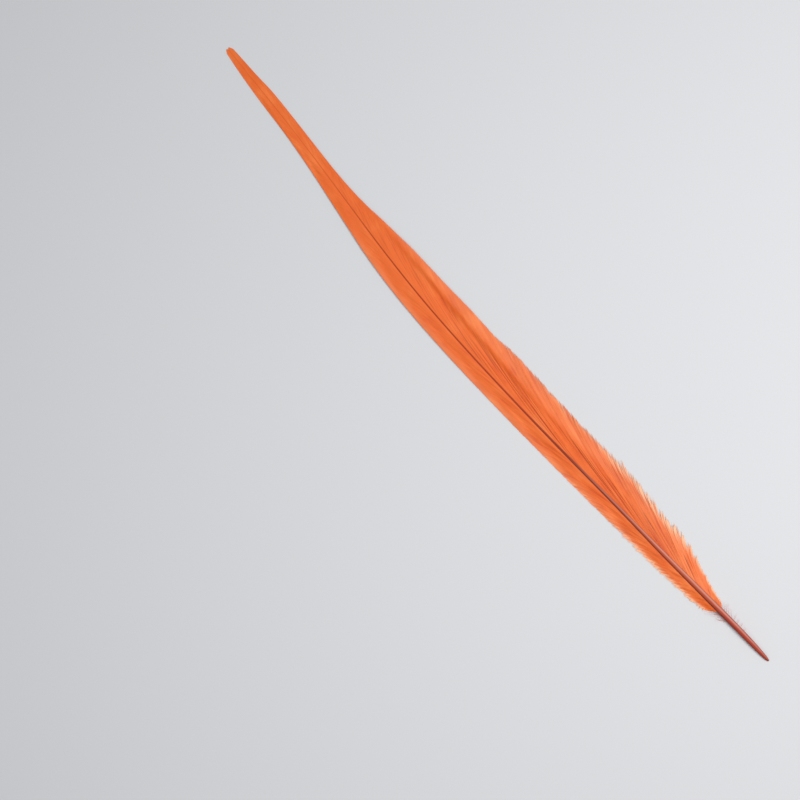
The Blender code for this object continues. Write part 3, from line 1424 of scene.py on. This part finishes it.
@dataclass
class Down(Piece):
    """The sparse downy barbs below a vane: thin stems with fine curled barbules on both sides."""

    slot: ClassVar[str] = "down"

    side: Side
    seed: int
    stems: int
    start: float
    end: float = 0.0475
    reach: Course = Course(((0.024, 0.0022), (0.036, 0.0030), (0.042, 0.0040), (0.048, 0.0056)))
    reach_uneven: float = 0.22
    reach_least: float = 0.0012
    sweep: Course = Course(((0.024, 0.2), (0.034, 0.5), (0.048, 1.5)))
    sweep_uneven: float = 0.35
    sweep_power: float = 1.2
    root_jitter: Pair = (0.1, 0.9)
    root_crowding: float = 0.7
    begin: float = 0.8
    begin_levels: Pair = (-0.5, 0.3)
    tip_levels: Pair = (0.1, 0.9)
    tip_height: float = 0.0022
    lowest: float = 0.0002
    wave_turns: Pair = (0.4, 1.0)
    wave_along: float = 0.0004
    wave_up: float = 0.0002
    stem_steps: int = 12
    stem_width: float = 0.00016
    stem_taper: float = 0.75
    stem_height: float = 0.35
    stem_map: Pair = (0.0, 0.3)
    tint_middle: float = 0.5
    tint_uneven: float = 0.2
    pale: float = 0.15
    pale_span: Pair = (0.6, 1.0)
    deep: float = 0.2
    deep_by_shaft: float = 0.5
    deep_span: Pair = (0.0, 0.5)

    # The barbules, whose lean, lift and curl are shares of their own length
    barbules: int = 12
    barbule_span: Pair = (0.2, 0.995)
    barbule_steps: int = 4
    barbule_sides: int = 3
    barbule_length: float = 0.0008
    barbule_uneven: float = 0.35
    barbule_limits: Pair = (0.3, 1.8)
    barbule_shorter: float = 0.35
    barbule_width: float = 0.00004
    barbule_taper: float = 0.85
    barbule_ahead: float = 0.75
    barbule_lift: float = 0.55
    barbule_twist: float = 0.6
    barbule_curl: float = 0.45
    barbule_lowest: float = 0.00008
    barbule_map: Pair = (0.3, 1.0)
    barbule_tint: float = 0.1
    barbule_pale: float = 0.1
    barbule_paler: float = 0.3

    @property
    def node(self) -> str:
        """The CAD node that this side's tuft stands for."""
        return f"down_{self.side.word}"

    def build(self) -> bpy.types.Object:
        """The tuft's mesh, with the numbers that its material reads.

        Returns:
            The mesh object.
        """
        chance = np.random.default_rng(self.seed)
        shape = (self.stems, 1)
        share = (np.arange(self.stems) + chance.uniform(*self.root_jitter, self.stems)) / self.stems
        root = (self.start + (self.end - self.start) * share**self.root_crowding)[:, None]
        out = np.linspace(0.0, 1.0, self.stem_steps)[None, :]
        half = SPINE.widths.at(root) / 2
        breadth = self.reach.at(root) * (1 + self.reach_uneven * chance.normal(size=shape))
        breadth = np.maximum(breadth, self.reach_least)
        lean = self.sweep.at(root) + self.sweep_uneven * chance.normal(size=shape)
        turns = chance.uniform(*self.wave_turns, shape)
        wave = np.sin(2 * np.pi * (out * turns + chance.uniform(size=shape)))
        place = root + breadth * lean * out**self.sweep_power + self.wave_along * wave * out
        aside = self.begin * half + (breadth + (1 - self.begin) * half) * out
        end = self.lowest + self.tip_height * chance.uniform(*self.tip_levels, shape)
        top = SPINE.middle_at(root) + half * chance.uniform(*self.begin_levels, shape)
        height = top + (end - top) * smoothstep(0.0, 1.0, out) + self.wave_up * wave * out
        line = SPINE.points(place, self.side.value * aside, np.maximum(height, self.lowest))
        width = self.stem_width * (1 - self.stem_taper * out) + 0 * root
        rings = ribbon_rings(line, UP + 0 * line, width, width * self.stem_height, 0 * width)
        tint = np.clip(self.tint_middle + self.tint_uneven * chance.normal(size=shape), 0.0, 1.0)
        strands = Strands(f"{self.node}_tuft")
        strands.add(
            rings,
            self.stem_map,
            tint=tint + 0 * out,
            along=out + 0 * root,
            column=np.arange(self.stems)[:, None] / self.stems + 0 * out,
            pale=self.pale * smoothstep(*self.pale_span, out) + 0 * root,
            deep=self.deep + self.deep_by_shaft * (1 - smoothstep(*self.deep_span, out)) + 0 * root,
        )
        self.add_barbules(strands, line, tint, chance)
        return strands.build()

    def add_barbules(
        self, strands: Strands, line: np.ndarray, tint: np.ndarray, chance: np.random.Generator
    ) -> None:
        """Adds fine curled barbules along both sides of every stem.

        Args:
            strands: The mesh that takes them.
            line: The stems' points, as (stem, step, 3).
            tint: The stems' tints, as (stem, 1).
            chance: The source of chance.
        """
        steps, each = self.stem_steps, self.barbules
        many = self.stems * each
        spread = (self.stems, each, 1)
        first, last = self.barbule_span
        where = first + (last - first) * (np.arange(each) + chance.uniform(size=spread[:2])) / each
        spot = where * (steps - 1)
        low = np.minimum(spot.astype(int), steps - 2)
        rest = (spot - low)[..., None]
        rows = np.arange(self.stems)[:, None]
        origin = line[rows, low] * (1 - rest) + line[rows, low + 1] * rest
        ahead = unit(line[rows, low + 1] - line[rows, low])
        hand = np.where(np.arange(each) % 2 == 0, 1.0, -1.0)[None, :, None]
        across = unit(np.cross(UP, ahead)) * hand
        lift = self.barbule_lift * chance.normal(size=spread)
        toward = unit(ahead * self.barbule_ahead + across + UP * lift)[:, :, None]
        curl = unit(ahead + self.barbule_twist * chance.normal(size=ahead.shape))[:, :, None]
        size = np.clip(1 + self.barbule_uneven * chance.normal(size=spread), *self.barbule_limits)
        size = self.barbule_length * size * (1 - self.barbule_shorter * where[..., None])
        t = np.linspace(0.0, 1.0, self.barbule_steps)
        run = toward * t[:, None] + self.barbule_curl * curl * t[:, None] ** 2
        middle = (origin[:, :, None] + size[..., None] * run).reshape(many, self.barbule_steps, 3)
        middle[..., 2] = np.maximum(middle[..., 2], self.barbule_lowest)
        tangent = unit(np.gradient(middle, axis=1))
        side = unit(np.cross(tangent, ASKEW))
        other = np.cross(tangent, side)
        radius = (self.barbule_width / 2 * (1 - self.barbule_taper * t))[None, :, None, None]
        angle = 2 * np.pi * np.arange(self.barbule_sides) / self.barbule_sides
        ring = side[:, :, None] * np.cos(angle)[:, None] + other[:, :, None] * np.sin(angle)[:, None]
        along = where.reshape(-1, 1)
        shade = np.repeat(tint, each, axis=1).reshape(-1, 1)
        shade = np.clip(shade + self.barbule_tint * chance.normal(size=shade.shape), 0, 1)
        strands.add(
            middle[:, :, None] + ring * radius,
            self.barbule_map,
            tint=shade + 0 * t,
            along=np.clip(along + 0 * t, 0, 1),
            column=np.arange(many)[:, None] / many + 0 * t,
            pale=self.barbule_pale + self.barbule_paler * t[None, :] * along,
            deep=0 * along + 0 * t,
        )


# How far out a barb goes from the shaft's middle line, by where it leaves the shaft
LEFT_REACH: Points = (
    (0.036, 0.0038),
    (0.042, 0.0052),
    (0.048, 0.0074),
    (0.054, 0.0088),
    (0.066, 0.0095),
    (0.092, 0.0107),
    (0.180, 0.0114),
    (0.300, 0.0121),
    (0.340, 0.0114),
    (0.384, 0.0092),
    (0.421, 0.0073),
    (0.462, 0.0057),
    (0.489, 0.0053),
    (0.512, 0.0043),
    (0.537, 0.0028),
    (0.545, 0.0021),
    (0.549, 0.0009),
)
RIGHT_REACH: Points = (
    (0.036, 0.0038),
    (0.047, 0.0046),
    (0.054, 0.0068),
    (0.060, 0.0108),
    (0.066, 0.0150),
    (0.073, 0.0169),
    (0.090, 0.0186),
    (0.110, 0.0206),
    (0.141, 0.0214),
    (0.176, 0.0220),
    (0.218, 0.0206),
    (0.262, 0.0185),
    (0.294, 0.0167),
    (0.316, 0.0148),
    (0.345, 0.0121),
    (0.369, 0.0096),
    (0.391, 0.0077),
    (0.419, 0.0061),
    (0.444, 0.0056),
    (0.487, 0.0053),
    (0.508, 0.0042),
    (0.535, 0.0029),
    (0.545, 0.0020),
    (0.549, 0.0009),
)

# How far forward it goes for each unit out, beyond the shaft's own width
LEFT_SWEEP: Points = ((0.036, 1.4), (0.060, 1.9), (0.090, 2.5), (0.130, 3.0), (0.250, 3.6), (0.545, 3.8))
RIGHT_SWEEP: Points = ((0.036, 1.4), (0.060, 1.9), (0.090, 2.8), (0.130, 3.6), (0.220, 4.4), (0.545, 4.4))

# How much of the forward run a tip loses, and how far back a barb starts for each unit out
SPLAY: Points = ((0.050, 0.35), (0.090, 0.4), (0.130, 0.3), (0.300, 0.3), (0.380, 0.25), (0.500, 0.1))
HUG: Points = (
    (0.052, 0.0),
    (0.080, 0.25),
    (0.120, 0.9),
    (0.170, 1.5),
    (0.330, 1.5),
    (0.450, 0.8),
    (0.530, 0.0),
)


@dataclass(frozen=True)
class Lamp:
    """A square soft light, aimed at the middle of the feather."""

    name: str
    spot: tuple[float, float, float]
    size: float
    watts: float
    tone: Colour

    def build(self) -> None:
        """Hangs the light in the scene."""
        data = bpy.data.lights.new(self.name, "AREA")
        data.shape = "SQUARE"
        data.size = self.size
        data.energy = self.watts
        data.color = self.tone
        lamp = bpy.data.objects.new(self.name, data)
        lamp.location = self.spot
        lamp.rotation_euler = Vector(self.spot).to_track_quat("Z", "Y").to_euler()
        bpy.context.scene.collection.objects.link(lamp)


@dataclass(frozen=True)
class Studio:
    """The plain pale floor, the soft lights and the camera over it."""

    photo_side: int = 800
    photo_tip: Pair = (227.3, 47.6)
    photo_quill: Pair = (769.3, 661.4)
    lens: float = 85.0
    sensor: float = 36.0
    nearest: float = 0.01
    aim_height: float = 0.003
    floor_size: float = 6.0
    floor_tone: Colour = linear(204, 205, 208)
    floor_roughness: float = 0.75
    floor_specular: float = 0.2
    key: Lamp = Lamp("soft_key", (-0.34, -0.38, 1.05), size=0.8, watts=14.0, tone=(1.0, 0.99, 0.975))
    fill: Lamp = Lamp("soft_fill", (0.14, 0.54, 0.9), size=0.6, watts=1.5, tone=(0.97, 0.985, 1.0))
    sky_tone: Colour = (0.95, 0.97, 1.0)
    sky_strength: float = 0.275

    def camera(self) -> None:
        """A camera straight above, placed so that tip and quill fall where the photograph has them."""
        run = np.array(self.photo_quill) - np.array(self.photo_tip)
        pixels = float(np.hypot(*run))
        scale = SPINE.length / pixels
        towards = run / pixels
        centre = np.array([self.photo_side / 2] * 2) - np.array(self.photo_tip)
        back = float(centre @ towards) * scale
        aside = float(centre @ np.array([-towards[1], towards[0]])) * scale
        aim = Vector((SPINE.length / 2 - back, SPINE.chord_y + aside, self.aim_height))
        right = Vector((-towards[0], -towards[1], 0.0))
        up = Vector((towards[1], -towards[0], 0.0))
        data = bpy.data.cameras.new("view_from_above")
        data.lens = self.lens
        data.sensor_width = self.sensor
        data.clip_start = self.nearest
        camera = bpy.data.objects.new("view_from_above", data)
        distance = self.photo_side * scale * self.lens / self.sensor
        axes = Matrix((right, up, right.cross(up))).transposed()
        camera.matrix_world = Matrix.Translation(aim + Vector((0, 0, distance))) @ axes.to_4x4()
        bpy.context.scene.collection.objects.link(camera)
        bpy.context.scene.camera = camera

    def floor(self) -> None:
        """One wide pale plane."""
        half = self.floor_size / 2
        corners = [(-half, -half, 0), (half, -half, 0), (half, half, 0), (-half, half, 0)]
        mesh = bpy.data.meshes.new("floor")
        mesh.from_pydata(corners, [], [(0, 1, 2, 3)])
        floor = bpy.data.objects.new("floor", mesh)
        bpy.context.scene.collection.objects.link(floor)
        made = bpy.data.materials.new("pale_floor")
        made.use_nodes = True
        shader = made.node_tree.nodes["Principled BSDF"]
        shader.inputs["Base Color"].default_value = (*self.floor_tone, 1.0)
        shader.inputs["Roughness"].default_value = self.floor_roughness
        shader.inputs["Specular IOR Level"].default_value = self.floor_specular
        mesh.materials.append(made)

    def lights(self) -> None:
        """A large soft light over the right side by the quill, a weak one on the left and an even sky."""
        self.key.build()
        self.fill.build()
        world = bpy.data.worlds.new("even_sky")
        world.use_nodes = True
        sky = world.node_tree.nodes["Background"]
        sky.inputs["Color"].default_value = (*self.sky_tone, 1.0)
        sky.inputs["Strength"].default_value = self.sky_strength
        bpy.context.scene.world = world

    def build(self) -> None:
        """Floor, lights and camera."""
        self.floor()
        self.lights()
        self.camera()
        bpy.context.scene.view_settings.view_transform = "Standard"


def plan_vanes() -> list[Vane]:
    """The two webs, each with its own width, folds and fringe.

    Returns:
        The left web and the right one.
    """
    left = Vane(
        side=Side.LEFT,
        reach=Course(LEFT_REACH),
        sweep=Course(LEFT_SWEEP),
        splay=Course(SPLAY),
        hug=Course(HUG),
        shag=Course(((0.05, 0.06), (0.08, 0.02), (0.12, 0.0))),
        seed=11,
        crest_at=Course(((0.06, 0.55), (0.15, 0.55), (0.3, 0.66), (0.45, 0.75))),
        crest_height=Course(((0.05, 0.0), (0.1, 0.0003), (0.2, 0.0005), (0.33, 0.0003), (0.42, 0.0))),
        fringe=Course(((0.05, 1.6), (0.10, 1.3), (0.15, 0.8), (0.20, 0.35), (0.26, 0.12), (0.45, 0.05))),
        gather=Course(((0.05, 0.2), (0.10, 0.18), (0.15, 0.12), (0.20, 0.1), (0.28, 0.04), (0.5, 0.03))),
        ruffle=Course(((0.05, 0.00006), (0.12, 0.00007), (0.25, 0.00004), (0.4, 0.00002), (0.5, 0.00001))),
    )
    right = Vane(
        side=Side.RIGHT,
        reach=Course(RIGHT_REACH),
        sweep=Course(RIGHT_SWEEP),
        splay=Course(SPLAY),
        hug=Course(HUG),
        shag=Course(
            (
                (0.048, 0.20),
                (0.060, 0.28),
                (0.068, 0.18),
                (0.078, 0.02),
                (0.088, 0.15),
                (0.098, 0.13),
                (0.112, 0.02),
                (0.185, 0.0),
                (0.200, -0.045),
                (0.212, -0.025),
                (0.225, 0.0),
            )
        ),
        seed=7,
        wan=0.1,
        crest_at=Course(
            (
                (0.06, 0.5),
                (0.134, 0.48),
                (0.174, 0.47),
                (0.228, 0.52),
                (0.281, 0.62),
                (0.322, 0.70),
                (0.349, 0.78),
                (0.375, 0.84),
                (0.400, 0.95),
            )
        ),
        crest_height=Course(
            (
                (0.08, 0.0),
                (0.12, 0.0004),
                (0.17, 0.0009),
                (0.25, 0.0021),
                (0.34, 0.0019),
                (0.38, 0.0008),
                (0.41, 0.0),
            )
        ),
        fringe=Course(
            (
                (0.05, 1.8),
                (0.10, 1.5),
                (0.15, 0.9),
                (0.19, 0.45),
                (0.23, 0.15),
                (0.30, 0.06),
                (0.5, 0.04),
            )
        ),
        gather=Course(((0.05, 0.2), (0.10, 0.18), (0.15, 0.12), (0.19, 0.1), (0.24, 0.04), (0.5, 0.03))),
        ruffle=Course(
            (
                (0.05, 0.00008),
                (0.09, 0.00030),
                (0.14, 0.00024),
                (0.22, 0.00026),
                (0.29, 0.00012),
                (0.4, 0.00005),
                (0.52, 0.00001),
            )
        ),
    )
    return [left, right]


def main() -> None:
    logging.basicConfig(level=logging.INFO, format="%(name)s %(message)s")
    streaks, dye = streak_group(), mottle_group()
    horn = HornFinish().build(streaks)
    web = WebFinish("dyed_barbs").build(streaks, dye)
    fluff = WebFinish("dyed_down", deep=linear(228, 96, 44), glow=0.3).build(streaks, dye)
    tufts = Down(Side.LEFT, seed=21, stems=8, start=0.036), Down(Side.RIGHT, seed=22, stems=9, start=0.024)
    pieces = [(Shaft(), horn), *((vane, web) for vane in plan_vanes()), *((down, fluff) for down in tufts)]
    for piece, finish in pieces:
        thing = piece.make(finish)
        LOG.info("%s: %d faces", thing.name, len(thing.data.polygons))
    Studio().build()


if __name__ == "__main__":
    main()
